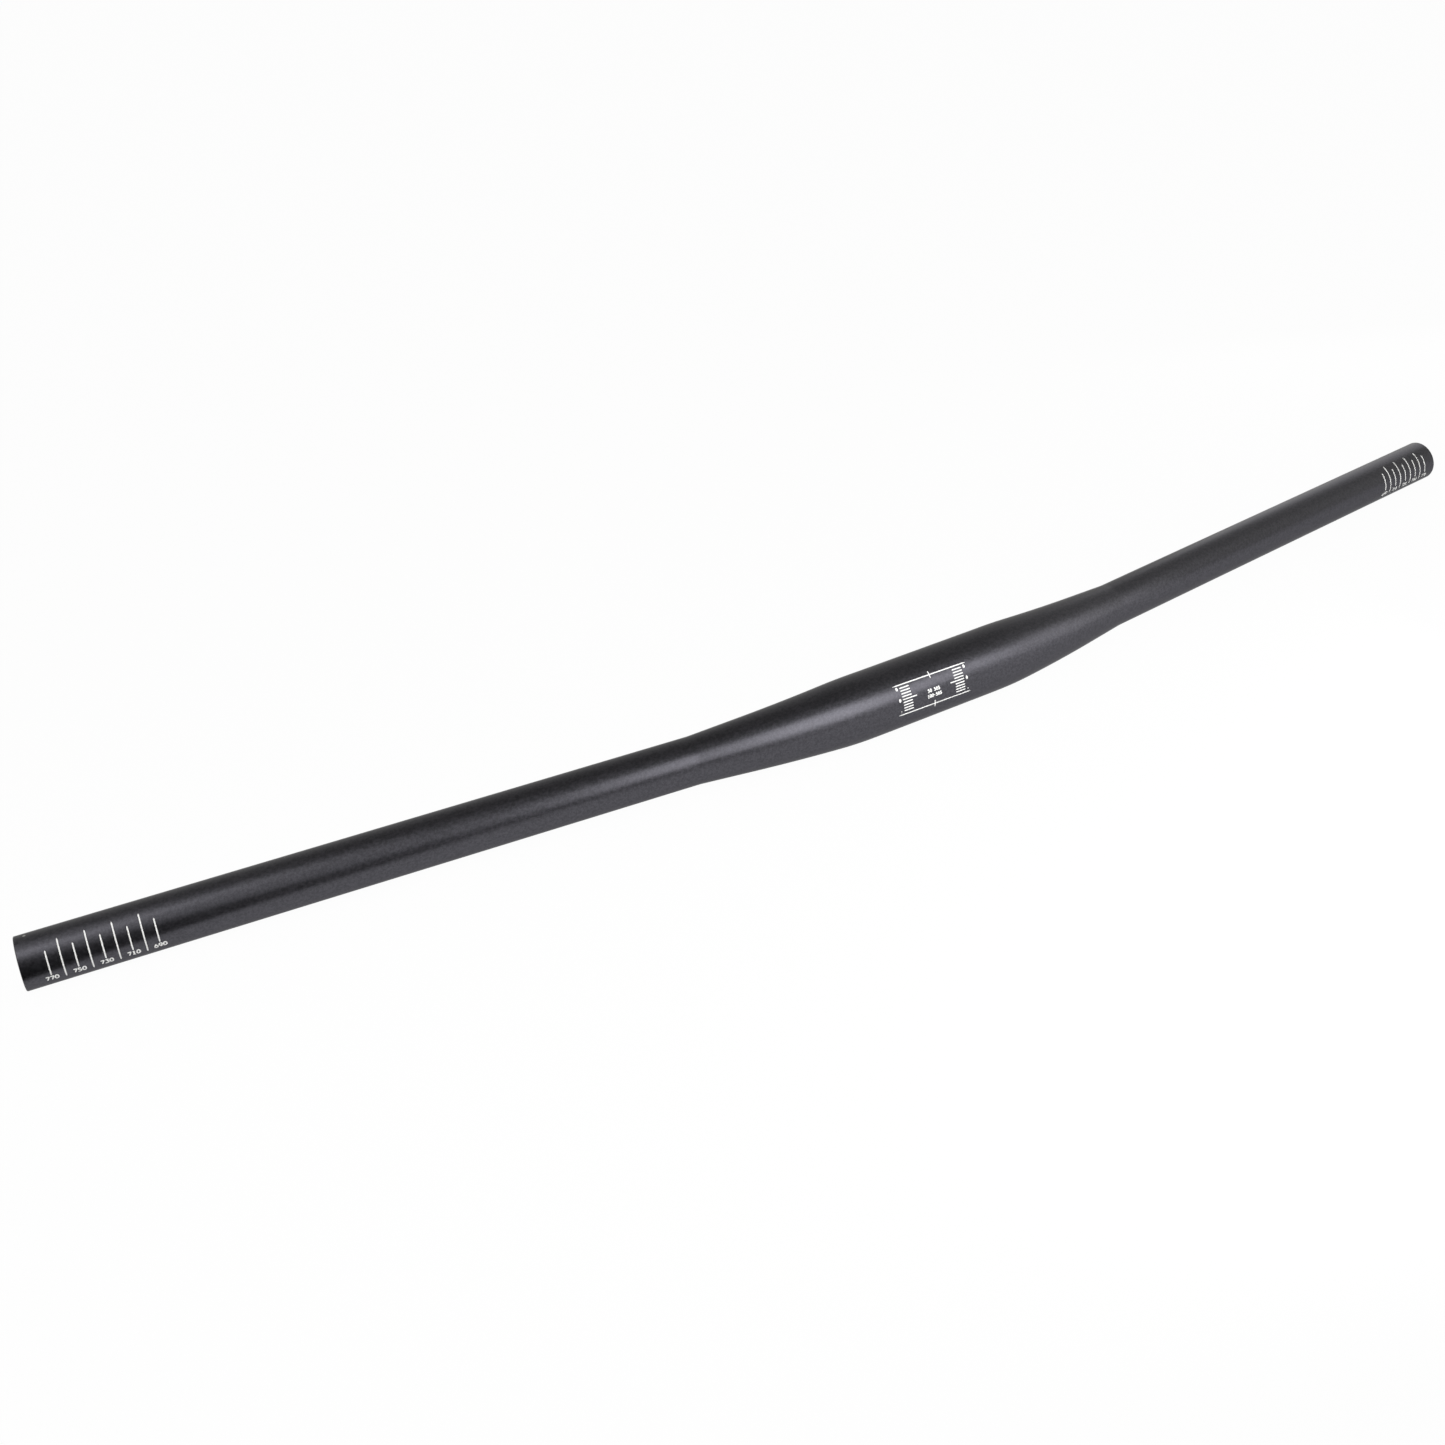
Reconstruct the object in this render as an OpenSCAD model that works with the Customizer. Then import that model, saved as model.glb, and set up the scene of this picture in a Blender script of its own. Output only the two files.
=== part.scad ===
// Flat handlebar for a bicycle: one aluminium tube, swaged, butted and bent.
// The middle is thick for the stem clamp and each side narrows to the grip diameter while it bends back.
// Frame: millimetres, origin in the middle of the clamp section, X along its axis, Z up.
// The grips sweep back towards +Y. The bar is rolled about X until it lies on its clamp section and both ends.

/* [Overall shape] */
// Width between the centres of the two cut ends, mm
overall_width = 789; // [640:0.5:820]
// Angle each grip sweeps back from the clamp axis, degrees
back_sweep = 9; // [5:0.5:14]
// Straight length in the middle, gripped by the stem, mm
clamp_straight = 56; // [46:1:64]
// Radius of each bend along the centre line, mm
bend_radius = 430; // [300:5:440]

/* [Outside diameters] */
// Diameter of the clamp section, mm
clamp_diameter = 31.8; // [30:0.1:35]
// Diameter of the grips, mm
grip_diameter = 22.2; // [21.8:0.1:23]

/* [Narrowing] */
// Distance along the bar from its middle to where it starts to narrow, mm
taper_start = 36.5; // [34:0.5:44]
// Distance along the bar from its middle to where the grip diameter is reached, mm
taper_end = 121.5; // [116:0.5:150]
// Length over which the slope of the narrowing builds up, mm
taper_ease_in = 17; // [8:1:30]
// Length over which the slope runs out into the grip, mm
taper_ease_out = 2; // [1:0.5:6]

/* [Tube wall] */
// Wall in the clamp section, mm
clamp_wall = 2.4; // [2:0.1:3]
// Wall through the bends, the thickest, mm
bend_wall = 2.7; // [2.4:0.1:3.2]
// Wall in the grips, mm
grip_wall = 2; // [1.6:0.1:2.3]
// Length beyond the narrowing over which the wall thins to the grip wall, mm
butt_length = 40; // [20:1:80]

/* [Cut ends] */
// Chamfer around the outside of each end, mm
end_chamfer = 0.25; // [0.15:0.05:1]
// Chamfer around the mouth of each bore, mm
bore_chamfer = 0.5; // [0.2:0.1:0.9]

/* [Show] */
// Piece to draw

/* [Hidden] */
$fa = 3;
$fs = 0.5;
clamp_radius = clamp_diameter / 2;
grip_radius = grip_diameter / 2;
bore_radius = grip_radius - grip_wall;

// Stations are distances along the centre line from the middle of the bar.
bend_start = clamp_straight / 2;
bend_end = bend_start + bend_radius * back_sweep * PI / 180;
bend_end_x = bend_start + bend_radius * sin(back_sweep);
bend_end_y = bend_radius * (1 - cos(back_sweep));
grip_run = (overall_width / 2 - bend_end_x) / cos(back_sweep);
bar_end = bend_end + grip_run;
butt_end = max(taper_end, bend_end) + butt_length;

// The end rim hangs this far behind the clamp axis, and that sets the roll at which the bar lies level.
rim_reach = bend_end_y + (grip_run - end_chamfer) * sin(back_sweep);
rest_roll = asin((clamp_radius - grip_radius) / rim_reach);

// A swept bend stands a hair proud of the plain tubes where it meets them, then dives into their walls.
joint_lift = 0.04;
joint_dive = 0.5;
joint_lap = 0.4;
cut_past = 0.3;
outer_sides = 64;
inner_sides = 32;
outer_steps = 14;
inner_steps = 8;

// Share of the narrowing that is done at station s: a parabola, a straight cone, and a parabola again.
full_slope = 1 / (taper_end - taper_start - taper_ease_in / 2 - taper_ease_out / 2);
function narrowed(s) =
    s <= taper_start ? 0
    : s < taper_start + taper_ease_in ? full_slope * pow(s - taper_start, 2) / (2 * taper_ease_in)
    : s < taper_end - taper_ease_out ? full_slope * (s - taper_start - taper_ease_in / 2)
    : s < taper_end ? 1 - full_slope * pow(taper_end - s, 2) / (2 * taper_ease_out)
    : 1;
function outer_radius(s) = clamp_radius - (clamp_radius - grip_radius) * narrowed(s);

// The wall thickens into the bend and thins out again along the grip.
wall_table = [
    [bend_start, clamp_wall],
    [(bend_start + bend_end) / 2, bend_wall],
    [bend_end, bend_wall],
    [butt_end, grip_wall]
];
function inner_radius(s) = outer_radius(s) - lookup(s, wall_table);

// Centre line of one side, in the plane of the bend, and the direction across it.
function turn(s) = min(max(s - bend_start, 0) / bend_radius * 180 / PI, back_sweep);
function past(s) = max(s - bend_end, 0);
function line_x(s) =
    min(s, bend_start) + bend_radius * sin(turn(s)) + past(s) * cos(back_sweep);
function line_y(s) = bend_radius * (1 - cos(turn(s))) + past(s) * sin(back_sweep);
function ring(s, radius, sides) = [
    for (i = [0 : sides - 1])
        let (a = 360 * (i + 0.5) / sides, across = radius * cos(a))
            [
                line_x(s) - across * sin(turn(s)),
                line_y(s) + across * cos(turn(s)),
                radius * sin(a)
            ]
];

// Stations of a sweep: the length of the bend in even steps, and one more at each end for the dive.
function stations(steps, dive) = [
    bend_start - dive,
    for (i = [0 : steps]) bend_start + (bend_end - bend_start) * i / steps,
    bend_end + dive
];

// How far ring number i stands out of the true surface: the dive, the lift beside it, and nothing between.
function stand_out(i, steps, dive) =
    i == 0 || i == steps + 2 ? -dive
    : i == 1 || i == steps + 1 ? joint_lift
    : 0;

// Skin of a sweep: triangles between neighbouring rings, clockwise seen from outside.
function skin(sides, count) = [
    for (j = [0 : count - 2], i = [0 : sides - 1])
        let (
            a = j * sides + i,
            b = j * sides + (i + 1) % sides,
            c = b + sides,
            d = a + sides
        )
            each [[a, c, b], [a, d, c]]
];

// A rod that follows the bend, as a closed solid with a flat face on each end.
module swept_rod(rings, sides) {
    count = len(rings);
    last = (count - 1) * sides;
    points = [for (r = rings) each r];
    faces = concat(
        skin(sides, count),
        [[for (i = [0 : sides - 1]) i]],
        [[for (i = [sides - 1 : -1 : 0]) last + i]]
    );
    polyhedron(points = points, faces = faces, convexity = 4);
}

// Bent, narrowing section: the wall between an outer sweep and an inner one, which runs past it at both ends.
module bend_tube() {
    inner_dive = joint_dive + cut_past;
    outer_stations = stations(outer_steps, joint_dive);
    inner_stations = stations(inner_steps, inner_dive);
    difference() {
        swept_rod([
            for (i = [0 : outer_steps + 2])
                let (s = outer_stations[i])
                    ring(s, outer_radius(s) + stand_out(i, outer_steps, joint_dive), outer_sides)
        ], outer_sides);
        swept_rod([
            for (i = [0 : inner_steps + 2])
                let (s = inner_stations[i])
                    ring(s, inner_radius(s) - stand_out(i, inner_steps, inner_dive), inner_sides)
        ], inner_sides);
    }
}

// Straight middle that the stem grips.
module clamp_tube() {
    rotate([0, 90, 0])
        difference() {
            cylinder(r = clamp_radius, h = clamp_straight + 2 * joint_lap, center = true);
            cylinder(r = clamp_radius - clamp_wall, h = clamp_straight + 4 * joint_lap, center = true);
        }
}

// Straight run from the end of the bend to the cut end, turned as one profile.
module grip_tube() {
    near = bend_end - joint_lap;
    ease = [
        for (i = [0 : 4])
            let (s = taper_end - taper_ease_out * (1 - i / 4))
                if (s > bend_end) s
    ];
    outside = concat(
        [[outer_radius(near), near]],
        [for (s = ease) [outer_radius(s), s]],
        [[grip_radius, bar_end - end_chamfer], [grip_radius - end_chamfer, bar_end]]
    );
    inside = concat(
        [[bore_radius + bore_chamfer, bar_end], [bore_radius, bar_end - bore_chamfer]],
        [[bore_radius, butt_end]],
        [for (i = [len(ease) - 1 : -1 : 0]) [inner_radius(ease[i]), ease[i]]],
        [[inner_radius(near), near]]
    );
    translate([bend_end_x, bend_end_y, 0])
        rotate([0, 90, back_sweep])
            translate([0, 0, -bend_end])
                rotate_extrude()
                    polygon(concat(outside, inside));
}

module handlebar() {
    color([0.1, 0.1, 0.11])
        rotate([-rest_roll, 0, 0])
            union() {
                clamp_tube();
                bend_tube();
                grip_tube();
                mirror([1, 0, 0]) bend_tube();
                mirror([1, 0, 0]) grip_tube();
            }
}

handlebar();
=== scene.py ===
import math
import bpy
import numpy as np
from mathutils import Matrix, Vector


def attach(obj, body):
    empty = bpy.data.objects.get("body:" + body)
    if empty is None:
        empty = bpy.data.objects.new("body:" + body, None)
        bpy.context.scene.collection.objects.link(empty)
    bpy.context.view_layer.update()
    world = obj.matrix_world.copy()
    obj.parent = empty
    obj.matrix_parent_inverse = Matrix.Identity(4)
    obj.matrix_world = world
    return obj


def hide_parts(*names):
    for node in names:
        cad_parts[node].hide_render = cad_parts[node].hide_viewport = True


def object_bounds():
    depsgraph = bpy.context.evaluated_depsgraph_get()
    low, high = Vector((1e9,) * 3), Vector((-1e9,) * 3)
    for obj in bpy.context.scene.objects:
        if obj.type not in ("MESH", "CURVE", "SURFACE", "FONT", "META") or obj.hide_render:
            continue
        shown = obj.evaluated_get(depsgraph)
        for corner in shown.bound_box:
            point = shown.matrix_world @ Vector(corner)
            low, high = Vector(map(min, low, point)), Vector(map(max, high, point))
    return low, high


# Flat bicycle handlebar: one black tube with white printed scales, lying on a pale table.
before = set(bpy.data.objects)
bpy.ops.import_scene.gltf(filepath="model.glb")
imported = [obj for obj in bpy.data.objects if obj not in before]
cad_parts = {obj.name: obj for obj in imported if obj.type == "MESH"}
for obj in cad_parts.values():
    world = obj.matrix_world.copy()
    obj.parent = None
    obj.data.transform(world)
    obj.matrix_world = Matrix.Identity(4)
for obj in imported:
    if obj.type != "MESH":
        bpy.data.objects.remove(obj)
cadLow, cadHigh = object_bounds()
print("frame loaded, box", [round(v, 4) for v in cadLow], [round(v, 4) for v in cadHigh])

mm = 0.001

# Sizes of the tube in millimetres, as the solid has them.
tube = {
    "overallWidth": 789.0,      # between the centres of the two cut ends
    "backSweep": 9.0,           # degrees that each grip sweeps back
    "clampStraight": 56.0,      # straight middle that the stem grips
    "bendRadius": 430.0,        # of the centre line
    "clampDiameter": 31.8,
    "gripDiameter": 22.2,
    "taperStart": 36.5,         # along the bar, from its middle
    "taperEnd": 121.5,
    "taperEaseIn": 17.0,
    "taperEaseOut": 2.0,
    "clampWall": 2.4,
    "bendWall": 2.7,
    "gripWall": 2.0,
    "buttLength": 40.0,         # over which the wall thins along the grip
    "endChamfer": 0.25,
    "boreChamfer": 0.5,
    "cornerRound": 0.1,         # softened corners of the cut ends
    "facesRound": 144,
    "outerRings": (18, 110, 60, 5),     # steps along the clamp, the taper, the grip and its last stretch
    "innerRings": (20, 8, 56, 5),       # steps along the bore: grip, thinning wall, taper and clamp
    "ringMargin": 1.0,          # stretch past the taper, and before the rim, that has close rings
    "wearAndHighlightReach": 0.7,            # how far from the rim's corner the edge mark reaches, a mark of edge wear and painted highlight
}

sweep = math.radians(tube["backSweep"])
clampRadius = tube["clampDiameter"] / 2
gripRadius = tube["gripDiameter"] / 2
bendStart = tube["clampStraight"] / 2
bendEnd = bendStart + tube["bendRadius"] * sweep
bendEndX = bendStart + tube["bendRadius"] * math.sin(sweep)
bendEndY = tube["bendRadius"] * (1 - math.cos(sweep))
gripRun = (tube["overallWidth"] / 2 - bendEndX) / math.cos(sweep)
barEnd = bendEnd + gripRun
rimReach = bendEndY + (gripRun - tube["endChamfer"]) * math.sin(sweep)
restRoll = math.asin((clampRadius - gripRadius) / rimReach)


# Share of the narrowing done at station s: a parabola, a straight cone, and a parabola again.
def narrowed(s):
    q = np.abs(s)
    start, end = tube["taperStart"], tube["taperEnd"]
    easeIn, easeOut = tube["taperEaseIn"], tube["taperEaseOut"]
    slope = 1 / (end - start - easeIn / 2 - easeOut / 2)
    rising = slope * (q - start) ** 2 / (2 * easeIn)
    cone = slope * (q - start - easeIn / 2)
    landing = 1 - slope * (end - q) ** 2 / (2 * easeOut)
    stretches = [q <= start, q < start + easeIn, q < end - easeOut, q < end]
    return np.select(stretches, [0 * q, rising, cone, landing], 1.0)


# Outer radius in mm: the clamp's, less the share of the narrowing times the difference.
def outerRadius(s):
    return clampRadius - (clampRadius - gripRadius) * narrowed(s)


# Inner radius in mm: the outer one less a wall that runs in straight lines between four stations.
def innerRadius(s):
    stations = [bendStart, (bendStart + bendEnd) / 2, bendEnd, tube["taperEnd"] + tube["buttLength"]]
    walls = [tube["clampWall"], tube["bendWall"], tube["bendWall"], tube["gripWall"]]
    return outerRadius(s) - np.interp(np.abs(s), stations, walls)


# Points on or in the bar. s runs along the centre line from the middle, in mm, and angle round it, 0 at the
# front and rising towards the top. The centre line is straight, then an arc, then straight again.
# point = centre line + radius * (up * sin angle - back * cos angle), then rolled about X and put in metres.
def barPoint(s, angle, radius):
    q = np.abs(s)
    side = np.where(s < 0, -1.0, 1.0)
    turn = np.clip((q - bendStart) / tube["bendRadius"], 0, sweep)
    past = np.maximum(q - bendEnd, 0)
    x = np.minimum(q, bendStart) + tube["bendRadius"] * np.sin(turn) + past * math.cos(sweep)
    y = tube["bendRadius"] * (1 - np.cos(turn)) + past * math.sin(sweep)
    forward = -radius * np.cos(angle)
    x = side * (x - forward * np.sin(turn))
    y = y + forward * np.cos(turn)
    z = radius * np.sin(angle)
    c, d = math.cos(restRoll), math.sin(restRoll)
    return np.stack([x, y * c + z * d, z * c - y * d], axis=-1) * mm


# Station along the bar, in mm, of a point of the straight grip at a half width of x.
def stationAt(halfWidth):
    return bendEnd + (halfWidth - bendEndX) / math.cos(sweep)


# A mesh object from whole arrays: vertices, faces of four, and float attributes for the points.
def meshPiece(name, points, quads, material, smooth=True, **values):
    mesh = bpy.data.meshes.new(name)
    mesh.vertices.add(len(points))
    mesh.vertices.foreach_set("co", np.asarray(points, dtype=np.float32).ravel())
    mesh.loops.add(quads.size)
    mesh.loops.foreach_set("vertex_index", quads.astype(np.int32).ravel())
    mesh.polygons.add(len(quads))
    mesh.polygons.foreach_set("loop_start", np.arange(0, quads.size, quads.shape[1], dtype=np.int32))
    mesh.polygons.foreach_set("use_smooth", np.full(len(quads), smooth))
    mesh.update(calc_edges=True)
    for key, value in values.items():
        layer = mesh.attributes.new(key, "FLOAT", "POINT")
        layer.data.foreach_set("value", np.asarray(value, dtype=np.float32).ravel())
    mesh.materials.append(material)
    mesh.validate()
    piece = bpy.data.objects.new(name, mesh)
    bpy.context.scene.collection.objects.link(piece)
    return piece


# Faces of a grid of rows by columns that closes on itself in the ways asked for.
def gridFaces(rows, columns, closeRows, closeColumns):
    r = np.arange(rows if closeRows else rows - 1)
    c = np.arange(columns if closeColumns else columns - 1)
    r, c = np.meshgrid(r, c, indexing="ij")
    thisRow, nextRow = r * columns, (r + 1) % rows * columns
    nextColumn = (c + 1) % columns
    quads = [thisRow + c, thisRow + nextColumn, nextRow + nextColumn, nextRow + c]
    return np.stack(quads, axis=-1).reshape(-1, 4)


# One socket of a material's nodes, with the arithmetic that adds Math nodes.
class Wire:
    def __init__(self, recipe, socket):
        self.recipe = recipe
        self.socket = socket

    def math(self, operation, other):
        return self.recipe.add("ShaderNodeMath", {"operation": operation}, {0: self, 1: other})

    def __add__(self, other):
        return self.math("ADD", other)

    def __sub__(self, other):
        return self.math("SUBTRACT", other)

    def __mul__(self, other):
        return self.math("MULTIPLY", other)

    def __rsub__(self, other):
        return self.recipe.add("ShaderNodeMath", {"operation": "SUBTRACT"}, {0: other, 1: self})

    __radd__ = __add__
    __rmul__ = __mul__

    # 0 below low, 1 above high, smooth between
    def rise(self, low, high):
        settings = {"interpolation_type": "SMOOTHSTEP"}
        values = {"Value": self, "From Min": low, "From Max": high, "To Min": 0.0, "To Max": 1.0}
        return self.recipe.add("ShaderNodeMapRange", settings, values)


# A material or world tree that is filled through one method.
class Recipe:
    def __init__(self, tree):
        self.tree = tree
        tree.nodes.clear()

    def add(self, kind, settings=None, values=None, out=0):
        node = self.tree.nodes.new(kind)
        for key, value in (settings or {}).items():
            setattr(node, key, value)
        for key, value in (values or {}).items():
            if isinstance(value, Wire):
                self.tree.links.new(value.socket, node.inputs[key])
            else:
                node.inputs[key].default_value = value
        return Wire(self, node.outputs[out]) if len(node.outputs) else node

    # a colour between two colours, by a factor from 0 to 1
    def blend(self, factor, first, second):
        return self.add("ShaderNodeMix", {"data_type": "RGBA"}, {0: factor, 6: first, 7: second}, out=2)

    # noise on a coordinate given in metres, of a grain size in metres
    def noise(self, where, grain, detail=2.0, roughness=0.6):
        values = {"Vector": where, "Scale": 1 / grain, "Detail": detail, "Roughness": roughness}
        return self.add("ShaderNodeTexNoise", {}, values)

    # distance in metres from a fixed point
    def distance(self, where, point):
        return self.add("ShaderNodeVectorMath", {"operation": "DISTANCE"}, {0: where, 1: point}, out=1)


# A new material with its recipe.
def newMaterial(name):
    material = bpy.data.materials.new(name)
    material.use_nodes = True
    return material, Recipe(material.node_tree)


blackFinish = {
    "colour": (0.0665, 0.0655, 0.0745, 1),      # dyed oxide over blasted metal, in the hollows
    "paleGrain": (0.1, 0.0975, 0.111, 1),       # the tops of the blasted grain
    "metal": 0.95,                              # share of the sheen that comes off the metal under the oxide
    "glancing": (0.6, 0.6, 0.6, 1),             # how much of the full sheen is left at glancing angles
    "roughness": 0.36,
    "coarse": 0.0013,                           # slow unevenness of the blasting, in metres
    "grain": 0.00055,                           # blasted pits
    "cloud": 0.035,                             # slow changes of tone along the tube
    "coarseShare": 0.55,                        # of the speckle, and the rest of it is grain
    "speckleSpan": (0.36, 0.64),                # noise from the hollows to the tops
    "speckleShare": 0.85,                       # of the tone, and the rest of it is cloud
    "speckleRough": 0.08,                       # how far each of these moves the roughness
    "cloudRough": 0.06,
    "wearRough": 0.08,
    "pitDepth": 0.00002,
    "coarseHeight": 0.6,                        # beside the grain's height of 1
    "bumpStrength": 0.8,
    # lighter colour round the rims of the cut ends: edge wear, and in part a painted highlight along the rim
    "edgeWearAndHighlight": (0.12, 0.12, 0.125, 1),
    "wearAndHighlightPatch": 0.0012,
    "wearAndHighlightSpan": (0.42, 0.62),                   # noise from the plain tone to the lighter rim
    "wearAndHighlightShare": 0.4,
    "nickAt": (-394.4, 88.0),                   # nick near the rim: station in mm, angle in degrees
    "nickCore": 0.000375,
    "nickSize": 0.00075,
    "nickColour": (0.4, 0.4, 0.4, 1),
}


# Satin black anodised aluminium over a bead-blasted surface. Noise at two sizes makes the grain, which moves
# the colour, the roughness and the bump together, and a slow cloud of tone lies under it.
def blackAnodised():
    f = blackFinish
    material, r = newMaterial("satinBlackAnodised")
    where = r.add("ShaderNodeTexCoord", out=3)
    coarse = r.noise(where, f["coarse"])
    grain = r.noise(where, f["grain"])
    cloud = r.noise(where, f["cloud"], detail=3.0, roughness=0.55)
    patches = r.noise(where, f["wearAndHighlightPatch"], detail=3.0, roughness=0.5)
    edge = r.add("ShaderNodeAttribute", {"attribute_name": "edge"}, out=2)
    speckle = (f["coarseShare"] * coarse + (1 - f["coarseShare"]) * grain).rise(*f["speckleSpan"])
    paleness = speckle * f["speckleShare"] + cloud * (1 - f["speckleShare"])
    tone = r.blend(paleness, f["colour"], f["paleGrain"])
    # lighter rims of the cut ends, in patches: edge wear, and in part a painted highlight on the rim
    wearAndHighlight = edge * patches.rise(*f["wearAndHighlightSpan"])
    tone = r.blend(wearAndHighlight * f["wearAndHighlightShare"], tone, f["edgeWearAndHighlight"])
    station, degrees = np.array(f["nickAt"])
    nickPoint = barPoint(station, np.radians(degrees), outerRadius(station))
    nick = 1 - r.distance(where, tuple(float(v) for v in nickPoint)).rise(f["nickCore"], f["nickSize"])
    tone = r.blend(nick, tone, f["nickColour"])
    swing = (speckle - 0.5) * f["speckleRough"] + (cloud - 0.5) * f["cloudRough"]
    rough = f["roughness"] + swing - wearAndHighlight * f["wearRough"]
    relief = {"Strength": f["bumpStrength"], "Distance": f["pitDepth"]}
    bump = r.add("ShaderNodeBump", {}, {"Height": coarse * f["coarseHeight"] + grain, **relief})
    values = {"Base Color": tone, "Metallic": f["metal"], "Specular Tint": f["glancing"], "Roughness": rough}
    shader = r.add("ShaderNodeBsdfPrincipled", {}, {**values, "Normal": bump})
    r.add("ShaderNodeOutputMaterial", {}, {"Surface": shader})
    return material


inkFinish = {
    "colour": (0.92, 0.92, 0.91, 1),
    "thin": (0.74, 0.74, 0.73, 1),              # where the pad left less ink
    "thinSpan": (0.45, 0.75),                   # noise from full to thin ink
    "roughness": 0.5,
    "roughSwing": 0.2,
    "blotch": 0.0005,                           # in metres, as the depth
    "blotchDepth": 0.00001,
    "bumpStrength": 0.3,
}


# White pad-printed ink: a little uneven, thinner in small blotches.
def whiteInk():
    f = inkFinish
    material, r = newMaterial("whitePrint")
    where = r.add("ShaderNodeTexCoord", out=3)
    blotch = r.noise(where, f["blotch"], detail=3.0)
    tone = r.blend(blotch.rise(*f["thinSpan"]), f["colour"], f["thin"])
    relief = {"Strength": f["bumpStrength"], "Distance": f["blotchDepth"]}
    bump = r.add("ShaderNodeBump", {}, {"Height": blotch, **relief})
    rough = f["roughness"] + (blotch - 0.5) * f["roughSwing"]
    shader = r.add("ShaderNodeBsdfPrincipled", {}, {"Base Color": tone, "Roughness": rough, "Normal": bump})
    r.add("ShaderNodeOutputMaterial", {}, {"Surface": shader})
    return material


# Corner of a profile replaced by an arc: points before, along and after it. The arc is a quadratic curve
# from a step back on the first side, by the corner, to a step along the second.
def softCorner(before, corner, after, size, steps=4):
    corner = np.array(corner, dtype=float)
    back = np.array(before, dtype=float) - corner
    ahead = np.array(after, dtype=float) - corner
    start = corner + back / np.linalg.norm(back) * size
    end = corner + ahead / np.linalg.norm(ahead) * size
    t = np.linspace(0, 1, steps + 1)[:, None]
    return (1 - t) ** 2 * start + 2 * t * (1 - t) * corner + t ** 2 * end


# Profile of one cut end as (station, radius), from the outside of the tube round to its bore.
def endProfile():
    outer = barEnd - tube["endChamfer"]
    bore = gripRadius - tube["gripWall"]
    inboard = outer - tube["gripWall"]      # any place on the plain tube, as only its direction counts
    corners = [
        (inboard, gripRadius),
        (outer, gripRadius),
        (barEnd, gripRadius - tube["endChamfer"]),
        (barEnd, bore + tube["boreChamfer"]),
        (barEnd - tube["boreChamfer"], bore),
        (inboard, bore),
    ]
    arcs = [softCorner(corners[i - 1], corners[i], corners[i + 1], tube["cornerRound"]) for i in range(1, 5)]
    return np.concatenate(arcs)


# Stations between a row of stops, with a count of even steps for each stretch. The last stop is left out.
def evenStations(stops, counts):
    stretches = zip(stops[:-1], stops[1:], counts)
    return np.concatenate([np.linspace(a, b, count, endpoint=False) for a, b, count in stretches])


# The tube: a closed profile of stations and radii carried round the bent centre line. The rows start outside
# in the middle, go round the cut end at +X and back through the bore, and then run the same way mirrored.
def makeTube(material):
    end = endProfile()
    half = end[0, 0]
    margin = tube["ringMargin"]
    taperStop = tube["taperEnd"] + margin
    buttStop = tube["taperEnd"] + tube["buttLength"]
    outer = evenStations([0, bendStart, taperStop, half - margin, half], tube["outerRings"])
    inner = evenStations([end[-1, 0] - margin, buttStop, taperStop, bendStart, 0], tube["innerRings"])
    inner = np.append(inner, 0)
    s = np.concatenate([outer, end[:, 0], inner])
    radius = np.concatenate([outerRadius(outer), end[:, 1], innerRadius(inner)])
    s = np.concatenate([s, -s[-2:0:-1]])
    radius = np.concatenate([radius, radius[-2:0:-1]])
    angle = np.arange(tube["facesRound"]) * 2 * np.pi / tube["facesRound"]
    sGrid, aGrid = np.meshgrid(s, angle, indexing="ij")
    rGrid = np.repeat(radius[:, None], len(angle), axis=1)
    points = barPoint(sGrid, aGrid, rGrid).reshape(-1, 3)
    # mask of the lighter rims: edge wear, and in part a painted highlight
    fromRim = np.abs(radius - (gripRadius - tube["endChamfer"] / 2)) + np.abs(np.abs(s) - barEnd)
    edge = np.clip(1 - fromRim / tube["wearAndHighlightReach"], 0, 1)
    quads = gridFaces(len(s), len(angle), True, True)[:, ::-1]
    edgeGrid = np.repeat(edge[:, None], len(angle), axis=1)
    return meshPiece("barTube", points, quads, material, edge=edgeGrid)


printLayout = {
    "inkThickness": 0.03,       # mm that the ink stands proud of the tube
    "inkFoot": -0.06,           # the film's foot lies in the wall, so that no gap shows
    "pointsAlong": 25,          # of each stroke
    "tipShare": 0.15,           # least width at a stroke's tip, as a share of the full width
    "lineWidthLeft": 0.54,      # of the cutting marks, as each side measures in the photograph
    "lineWidthRight": 0.78,
    "scaleEndLeft": 384.55,     # half width of the outermost mark on each side, the one for 770
    "scaleEndRight": 384.95,
    "markPitch": 4.94,          # as measured, where a real scale surely has 5
    "markCount": 9,
    "shortMark": (-21.2, 33.9), # degrees round the tube
    "longMark": (-38.3, 52.6),
    "rightTurn": 2.8,           # the right scale sits this much higher
    "widest": 770,              # number at the outermost mark
    "widthStep": 10,            # a mark further in on both sides takes this off the overall width
    "numberHeight": 2.05,
    "numberWidth": 1.42,
    "numberGap": 0.26,
    "numberLine": 0.56,
    "numberAt": -30.0,          # degrees, middle of the numbers
}

# Shapes of the digits in a box one wide and one high, as strokes: runs of straight lines or part ellipses.
digitStrokes = {
    " ": [],
    "-": [("line", (0.2, 0.45), (0.8, 0.45))],
    "0": [("arc", 0.5, 0.5, 0.42, 0.5, 0, 360)],
    "1": [("line", (0.2, 0.84), (0.52, 1.0), (0.52, 0.0)), ("line", (0.14, 0.0), (0.9, 0.0))],
    "3": [("line", (0.1, 1.0), (0.86, 1.0), (0.46, 0.6)), ("arc", 0.42, 0.3, 0.44, 0.3, 84, -150)],
    "5": [("line", (0.85, 1.0), (0.2, 1.0), (0.14, 0.56)), ("arc", 0.42, 0.31, 0.44, 0.31, 125, -150)],
    "6": [("arc", 0.5, 0.3, 0.4, 0.3, 0, 360), ("line", (0.12, 0.36), (0.32, 0.8), (0.62, 1.02))],
    "7": [("line", (0.05, 1.0), (0.92, 1.0), (0.4, 0.0))],
    "9": [("arc", 0.5, 0.7, 0.4, 0.3, 0, 360), ("line", (0.88, 0.64), (0.68, 0.2), (0.38, -0.02))],
}


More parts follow.
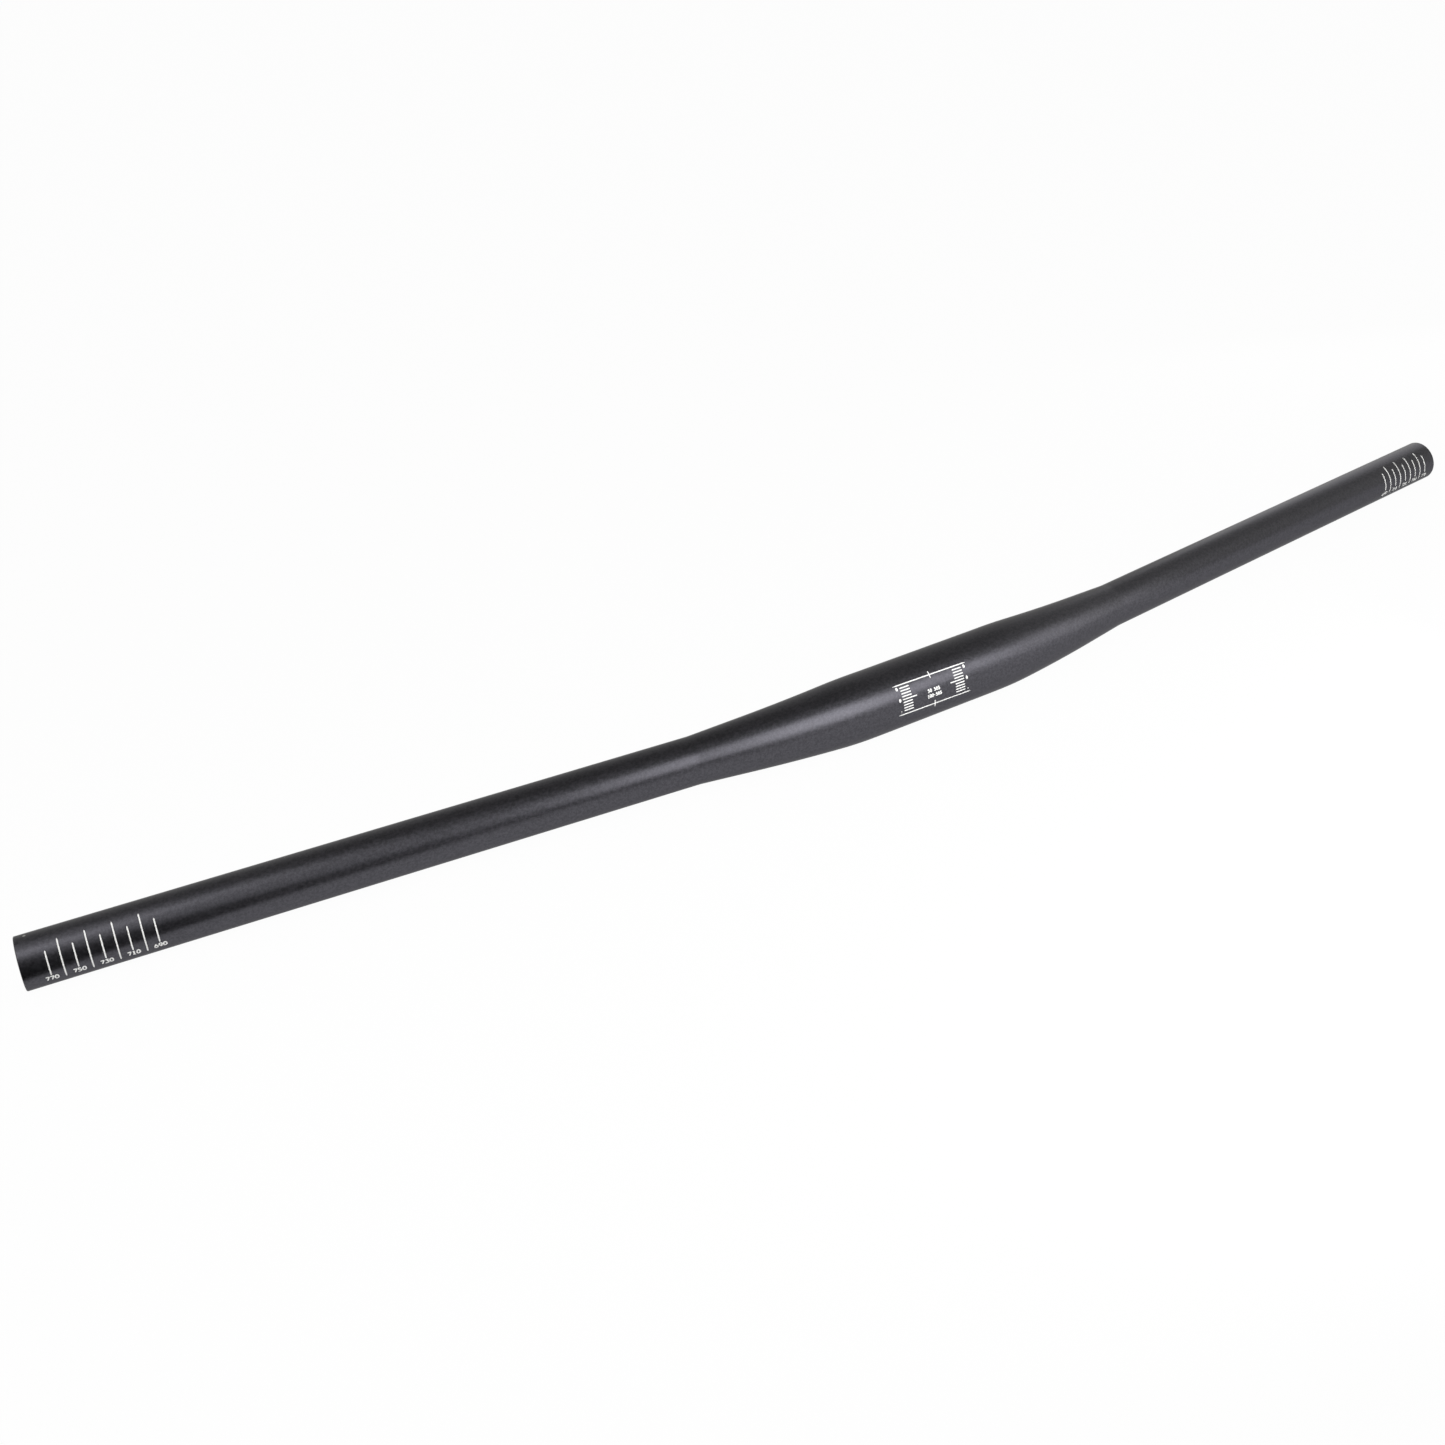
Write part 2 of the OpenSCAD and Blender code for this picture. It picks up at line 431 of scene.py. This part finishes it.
# Points along a run of straight lines, evenly spaced by length.
def alongLine(corners, count):
    corners = np.array(corners, dtype=float)
    steps = np.linalg.norm(np.diff(corners, axis=0), axis=1)
    run = np.concatenate([[0], np.cumsum(steps)])
    t = np.linspace(0, run[-1], count)
    return np.stack([np.interp(t, run, corners[:, 0]), np.interp(t, run, corners[:, 1])], axis=-1)


# Points of one stroke of a digit: straight runs, or centre + radii * (cos, sin) of an angle in degrees.
def strokePoints(stroke, count):
    if stroke[0] == "line":
        return alongLine(stroke[1:], count)
    cx, cy, rx, ry, first, last = stroke[1:]
    t = np.radians(np.linspace(first, last, count))
    return np.stack([cx + rx * np.cos(t), cy + ry * np.sin(t)], axis=-1)


# Strokes of a row of digits, centred on a point. x runs along the bar and y up round it, both in mm.
def numberStrokes(text, x, y, width, height, gap):
    pitch = width + gap
    left = x - (pitch * len(text) - gap) / 2
    out = []
    for i, digit in enumerate(text):
        for stroke in digitStrokes[digit]:
            p = strokePoints(stroke, printLayout["pointsAlong"])
            out.append(np.stack([left + i * pitch + p[:, 0] * width, y + (p[:, 1] - 0.5) * height], axis=-1))
    return out


# Ink films for many strokes at once. Each stroke is a ribbon: its path is moved half a line's width to both
# sides, with half circles at the ends, laid on the tube, and given a top above the surface and a foot in it.
# A closed stroke, such as a 0, runs into its own start. A slope in radians per mm turns the print askew.
def inkFilms(name, strokes, widths, material, slope=0.0, centre=0.0):
    path = np.stack(strokes)
    half = np.array(widths)[:, None] / 2
    step = np.gradient(path, axis=1)
    closed = np.linalg.norm(path[:, 0] - path[:, -1], axis=1) < 1e-6      # ends where it starts
    joint = (path[:, 1] - path[:, -2]) / 2
    step[closed, 0] = joint[closed]
    step[closed, -1] = joint[closed]
    step /= np.linalg.norm(step, axis=2, keepdims=True)
    lengths = np.linalg.norm(np.diff(path, axis=1), axis=2)
    run = np.concatenate([np.zeros((len(path), 1)), np.cumsum(lengths, axis=1)], axis=1)
    nearest = np.minimum(run, run[:, -1:] - run)
    least = (printLayout["tipShare"] * half) ** 2
    reach = np.sqrt(np.clip(half ** 2 - np.clip(half - nearest, 0, None) ** 2, least, None))
    reach = np.where(closed[:, None], half, reach)
    across = np.stack([-step[:, :, 1], step[:, :, 0]], axis=-1) * reach[:, :, None]
    left, right = path + across, path - across
    base = outerRadius(path[:, :, 0])
    lift, foot = printLayout["inkThickness"], printLayout["inkFoot"]
    ring = []
    for flat, height in ((left, lift), (right, lift), (right, foot), (left, foot)):
        s = flat[:, :, 0]
        angle = flat[:, :, 1] / base + slope * (s - centre)
        ring.append(barPoint(s, angle, outerRadius(s) + height))
    points = np.stack(ring, axis=2)
    count, along = path.shape[:2]
    body = gridFaces(along, 4, False, True)
    size = 4 * along        # points of one ribbon
    caps = np.array([[3, 2, 1, 0], [size - 4, size - 3, size - 2, size - 1]])
    quads = np.concatenate([body, caps])[None] + (np.arange(count) * size)[:, None, None]
    return meshPiece(name, points.reshape(-1, 3), quads.reshape(-1, 4), material, smooth=False)


# Cutting scale of one end: nine marks, every other one longer, and a number at the foot of each short one.
def makeScale(name, side, material):
    p = printLayout
    outermost = p["scaleEndLeft"] if side < 0 else p["scaleEndRight"]
    lineWidth = p["lineWidthLeft"] if side < 0 else p["lineWidthRight"]
    turn = p["rightTurn"] if side > 0 else 0
    strokes, widths = [], []
    for k in range(p["markCount"]):
        s = side * stationAt(outermost - p["markPitch"] * k)
        low, high = p["longMark"] if k % 2 else p["shortMark"]
        ends = [(s, math.radians(low + turn) * gripRadius), (s, math.radians(high + turn) * gripRadius)]
        strokes.append(alongLine(ends, p["pointsAlong"]))
        widths.append(lineWidth)
        if k % 2 == 0:
            text = str(p["widest"] - p["widthStep"] * k)
            y = math.radians(p["numberAt"]) * gripRadius
            digits = numberStrokes(text, s, y, p["numberWidth"], p["numberHeight"], p["numberGap"])
            strokes.extend(digits)
            widths.extend([p["numberLine"]] * len(digits))
    return inkFilms(name, strokes, widths, material)


clampLayout = {
    "centre": -5.59,            # mm along the bar, where the printed frame is centred
    "halfWidth": 20.4,
    "topLine": 33.4,            # degrees
    "bottomLine": -19.0,
    "slope": -0.064,            # degrees per mm: the print sits a hair askew
    "lineWidth": 0.56,
    "crossWidth": 0.5,
    "crossHalf": 6.4,           # degrees that the middle marks reach on each side of their line
    "ladderNear": 17.35,        # mm from the centre to the outer ends of the rungs
    "rung": 5.3,
    "longRung": 8.0,
    "ladderTop": 27.7,
    "ladderPitch": 4.98,
    "ladderCount": 9,
    "ladderDigits": {0: "0", 4: "0", 8: "-"},   # beside the rungs of these places
    "digitAway": 18.85,
    "digitHeight": 1.25,
    "digitWidth": 0.8,
    "digitLine": 0.5,
    "middleRows": (("50 505", 7.2), ("100-505", -2.3)),     # plain numbers and their angles
    "middleHeight": 1.38,
    "middleWidth": 0.96,
    "middleGap": 0.2,
    "middleLine": 0.42,
}


# Lining-up frame for the stem: two long lines, a cross mark on each, and a ladder of rungs at both sides.
def makeClampScale(material):
    p = clampLayout
    up = clampRadius * math.pi / 180      # mm round the clamp per degree
    strokes, widths = [], []

    def line(x0, a0, x1, a1, width=p["lineWidth"]):
        strokes.append(alongLine([(x0, a0 * up), (x1, a1 * up)], printLayout["pointsAlong"]))
        widths.append(width)

    for a in (p["topLine"], p["bottomLine"]):
        line(p["centre"] - p["halfWidth"], a, p["centre"] + p["halfWidth"], a)
        line(p["centre"], a - p["crossHalf"], p["centre"], a + p["crossHalf"], p["crossWidth"])
    for side in (-1, 1):
        outside = p["centre"] + side * p["ladderNear"]
        for k in range(p["ladderCount"]):
            reach = p["longRung"] if k == p["ladderCount"] // 2 else p["rung"]
            a = p["ladderTop"] - p["ladderPitch"] * k
            line(outside, a, outside - side * reach, a)
            if k in p["ladderDigits"]:
                x = p["centre"] + side * p["digitAway"]
                size = (p["digitWidth"], p["digitHeight"], 0)       # a single digit needs no gap
                digits = numberStrokes(p["ladderDigits"][k], x, a * up, *size)
                strokes.extend(digits)
                widths.extend([p["digitLine"]] * len(digits))
    for text, a in p["middleRows"]:
        size = (p["middleWidth"], p["middleHeight"], p["middleGap"])
        digits = numberStrokes(text, p["centre"], a * up, *size)
        strokes.extend(digits)
        widths.extend([p["middleLine"]] * len(digits))
    return inkFilms("clampScale", strokes, widths, material, math.radians(p["slope"]), p["centre"])


blackMaterial = blackAnodised()
inkMaterial = whiteInk()
barTube = makeTube(blackMaterial)
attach(barTube, "root")
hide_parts("handlebar")
print("tube made,", len(barTube.data.polygons), "faces")

leftScale = makeScale("cuttingScaleLeft", -1, inkMaterial)
rightScale = makeScale("cuttingScaleRight", 1, inkMaterial)
clampScale = makeClampScale(inkMaterial)
for scale in (leftScale, rightScale, clampScale):
    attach(scale, "root")
    print(scale.name, "made,", len(scale.data.polygons), "faces")

# Studio: a pale table, a ceiling that stays dark, and soft boxes. The white in reflections, the world's
# colours, bright side and fades, and the card's span and slant come from the same fit as the lamps, rounded.
studio = {
    "tableSize": 12.0,
    "tableColour": (0.82, 0.82, 0.82, 1),
    "seenWhite": 0.97,          # share of plain white that the camera sees on the table
    "mirroredWhite": 0.86,      # the same share in reflections
    "ceiling": (0.005, 0.005, 0.005, 1),
    "horizon": (1.06, 1.06, 0.99, 1),
    "brightSide": (0.10, 0.995, 0.0),           # where the pale walls of the room are
    "wallFade": (0.0, 1.2),                     # heights over which they darken, 1 being straight up
    "sideFade": (-0.72, -0.28),                 # how far round they reach, -1 being the side opposite
    "cardColour": (0.01, 0.01, 0.01, 1),
    "cardSpan": (-0.75, -0.405),                # a black card lies along the left grip, out of sight
    "cardGap": 0.005,                           # in front of the grip
    "cardDepth": 0.45,
    "cardSlant": 2.2,                           # how far its right side leans, per depth
}


# Table: a diffuse surface that takes the shadow, mixed with plain white for the camera and for reflections.
def tableMaterial():
    f = studio
    material, r = newMaterial("paleTable")
    path = r.tree.nodes.new("ShaderNodeLightPath")
    seen = Wire(r, path.outputs["Is Camera Ray"]) * f["seenWhite"]
    mirrored = Wire(r, path.outputs["Is Glossy Ray"]) + Wire(r, path.outputs["Is Transmission Ray"])
    share = seen + mirrored * f["mirroredWhite"]
    matt = r.add("ShaderNodeBsdfDiffuse", {}, {"Color": f["tableColour"]})
    glow = r.add("ShaderNodeEmission", {}, {"Color": (1, 1, 1, 1), "Strength": 1.0})
    both = r.add("ShaderNodeMixShader", {}, {0: share, 1: matt, 2: glow})
    r.add("ShaderNodeOutputMaterial", {}, {"Surface": both})
    return material


tableHalf = studio["tableSize"] / 2
tableZ = float(cadLow[2])
tableCorners = np.array([[-1, -1, 0], [1, -1, 0], [1, 1, 0], [-1, 1, 0]]) * tableHalf + [0, 0, tableZ]
table = meshPiece("table", tableCorners, np.array([[0, 1, 2, 3]]), tableMaterial(), smooth=False)

# Black card: it shows in the tube's sheen alone, as the dark band along the left end. Its long side follows
# the front of the grip, y = gripFront - x * tan(sweep), and its right side leans outwards.
cardMaterial, cardRecipe = newMaterial("blackCard")
cardShader = cardRecipe.add("ShaderNodeBsdfDiffuse", {}, {"Color": studio["cardColour"]})
cardRecipe.add("ShaderNodeOutputMaterial", {}, {"Surface": cardShader})
gripFront = (bendEndY - bendEndX * math.tan(sweep) - gripRadius / math.cos(sweep)) * mm
cardLeft, cardRight = studio["cardSpan"]
lean = studio["cardSlant"] * studio["cardDepth"]
cardX = np.array([cardLeft, cardRight, cardRight + lean, cardLeft])
cardNear = gripFront - studio["cardGap"] - np.minimum(cardX, cardRight) * math.tan(sweep)
cardY = cardNear - np.array([0, 0, 1, 1]) * studio["cardDepth"]
cardPoints = np.stack([cardX, cardY, np.full(4, tableZ + mm)], axis=-1)
card = meshPiece("blackCard", cardPoints, np.array([[3, 2, 1, 0]]), cardMaterial, smooth=False)
card.visible_camera = False
card.visible_diffuse = False
card.visible_shadow = False
card.visible_transmission = False

# World: pale low down on the side of the walls, and dark overhead and behind the camera.
world = bpy.data.worlds.new("studioAir")
bpy.context.scene.world = world
world.use_nodes = True
air = Recipe(world.node_tree)
direction = air.add("ShaderNodeTexCoord", out=0)
height = air.add("ShaderNodeSeparateXYZ", {}, {0: direction}, out=2)
towardsWall = {0: direction, 1: studio["brightSide"]}
side = air.add("ShaderNodeVectorMath", {"operation": "DOT_PRODUCT"}, towardsWall, out=1)
wall = (1 - height.rise(*studio["wallFade"])) * side.rise(*studio["sideFade"])
sky = air.blend(wall, studio["ceiling"], studio["horizon"])
air.add("ShaderNodeOutputWorld", {}, {"Surface": air.add("ShaderNodeBackground", {}, {"Color": sky})})

# Lamps: soft boxes that face a point on the X axis, at aimX. Azimuth goes from the front towards +X, in
# degrees. The first five are rounded from a fit to the photograph's brightness. The last lights the white
# print at the left end and is left out of the sheen.
lamps = {
    "frontBox": dict(azimuth=-19, elevation=25, away=0.49, size=(0.5, 0.31), radiance=4.1, aimX=0.25),
    "rightBox": dict(azimuth=77, elevation=6, away=0.74, size=(0.17, 0.15), radiance=1.55, aimX=-0.5),
    "leftBox": dict(azimuth=-75, elevation=21, away=0.78, size=(0.75, 0.34), radiance=0.87, aimX=0.36),
    "backBox": dict(azimuth=143, elevation=24, away=0.35, size=(0.35, 0.22), radiance=1.2, aimX=0.39),
    "overheadBox": dict(azimuth=-38, elevation=64, away=1.75, size=(0.43, 0.75), radiance=3.3, aimX=-0.41),
    "printFill": dict(azimuth=-35, elevation=42, away=0.5, size=(0.3, 0.3), radiance=2.8, aimX=-0.38,
                      sheen=False),
}


# Adds one lamp. Its power is radiance * pi * area, which gives that radiance whatever its size.
def makeLamp(name, lamp):
    a, e = math.radians(lamp["azimuth"]), math.radians(lamp["elevation"])
    outward = Vector((math.sin(a) * math.cos(e), -math.cos(a) * math.cos(e), math.sin(e)))
    width, height = lamp["size"]
    light = bpy.data.lights.new(name, "AREA")
    light.shape = "RECTANGLE"
    light.size = width
    light.size_y = height
    light.energy = lamp["radiance"] * math.pi * width * height
    box = bpy.data.objects.new(name, light)
    box.location = Vector((lamp["aimX"], 0, 0)) + outward * lamp["away"]
    box.rotation_mode = "QUATERNION"
    box.rotation_quaternion = outward.to_track_quat("Z", "Y")
    box.visible_camera = False
    box.visible_glossy = lamp.get("sheen", True)
    bpy.context.scene.collection.objects.link(box)


for name, lamp in lamps.items():
    makeLamp(name, lamp)
print("studio made")

# Camera at the photograph's place, from a fit to the bar's outline and its cutting marks: metres, degrees,
# and pixels of the picture's frame.
view = {
    "frameWidth": 1445,
    "filmWidth": 36,            # mm
    "focalPixels": 2018.034,
    "centrePixel": (1028.047, 528.556),         # where the lens axis meets the picture, from its corner
    "position": (-0.4602, -0.7439, 0.4075),
    "turn": 35.289,             # from +Y towards +X
    "tilt": -20.905,            # from level, and negative is down
    "roll": -4.404,             # about the line of sight
}
lens = bpy.data.cameras.new("camera")
lens.sensor_width = view["filmWidth"]
lens.lens = view["focalPixels"] / view["frameWidth"] * lens.sensor_width
centreX, centreY = view["centrePixel"]
lens.shift_x = (view["frameWidth"] / 2 - centreX) / view["frameWidth"]
lens.shift_y = (centreY - view["frameWidth"] / 2) / view["frameWidth"]
camera = bpy.data.objects.new("camera", lens)
turn, tilt, roll = (math.radians(view[key]) for key in ("turn", "tilt", "roll"))
forward = Vector((math.sin(turn) * math.cos(tilt), math.cos(turn) * math.cos(tilt), math.sin(tilt)))
level = Vector((math.cos(turn), -math.sin(turn), 0))
right = level * math.cos(roll) + level.cross(forward) * math.sin(roll)
axes = Matrix((right, right.cross(forward), -forward)).transposed()
camera.matrix_world = Matrix.Translation(view["position"]) @ axes.to_4x4()
bpy.context.scene.collection.objects.link(camera)
bpy.context.scene.camera = camera
bpy.context.scene.view_settings.view_transform = "Standard"
print("camera set")
